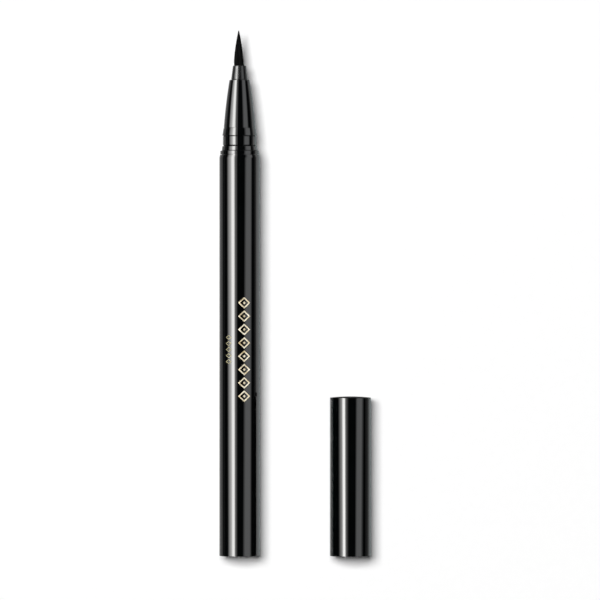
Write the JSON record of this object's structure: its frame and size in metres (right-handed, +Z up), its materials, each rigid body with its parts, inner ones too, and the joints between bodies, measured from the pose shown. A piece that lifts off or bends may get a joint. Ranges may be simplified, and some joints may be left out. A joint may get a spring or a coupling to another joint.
{
  "type": "eyeliner pen",
  "caption": "Slim glossy liquid eyeliner pen lying flat with its fine brush bare and its cap taken off and laid beside it.",
  "frame": {"origin": "on the surface the two pieces lie on, under the middle of the pen and cap together", "axes": "+Y along the pen from its tail to its brush tip, +X across from the pen to the cap, +Z up from the surface"},
  "size_m": [0.0376, 0.1306, 0.0102],
  "materials": {
    "gloss_black": "polished black injection-moulded plastic",
    "satin_black": "satin black plastic",
    "soft_black": "matt black plastic",
    "milky_plastic": "milky translucent polypropylene",
    "white_plastic": "plain white plastic",
    "rubber": "soft black elastomer",
    "steel": "bright stainless steel",
    "fibre": "bonded polyester fibre, stained by the ink",
    "bristle_black": "fine tapered synthetic bristles, black with ink"
  },
  "bodies": {
    "pen": {"barrel": "gloss_black", "tail_plug": "soft_black", "ink_tank": "milky_plastic", "tank_plug": "white_plastic", "tank_gasket": "rubber", "feed_core": "fibre", "collector": "white_plastic", "neck_sleeve": "gloss_black", "front_cone": "gloss_black", "brush_ferrule": "satin_black", "brush_collar": "white_plastic", "brush": "bristle_black"},
    "mixing_ball": {"mixing_ball": "steel"},
    "cap": {"cap_shell": "gloss_black", "cap_liner": "white_plastic", "inner_cap_spring": "steel"},
    "inner_cap": {"inner_cap": "milky_plastic"}
  },
  "joints": [
    {"name": "cap_slide", "type": "slide", "parent": "pen", "child": "cap", "axis": [0, 1, 0], "range_m": [0, 0.1325]},
    {"name": "inner_cap_slide", "type": "slide", "parent": "cap", "child": "inner_cap", "axis": [0, 1, 0], "range_m": [0, 0.0022], "stiffness_N_per_m": 300, "springref_m": -0.002, "deforming": ["inner_cap_spring"]},
    {"name": "mixing_ball_slide", "type": "slide", "parent": "pen", "child": "mixing_ball", "axis": [0, 1, 0], "range_m": [0, 0.0599]}
  ]
}
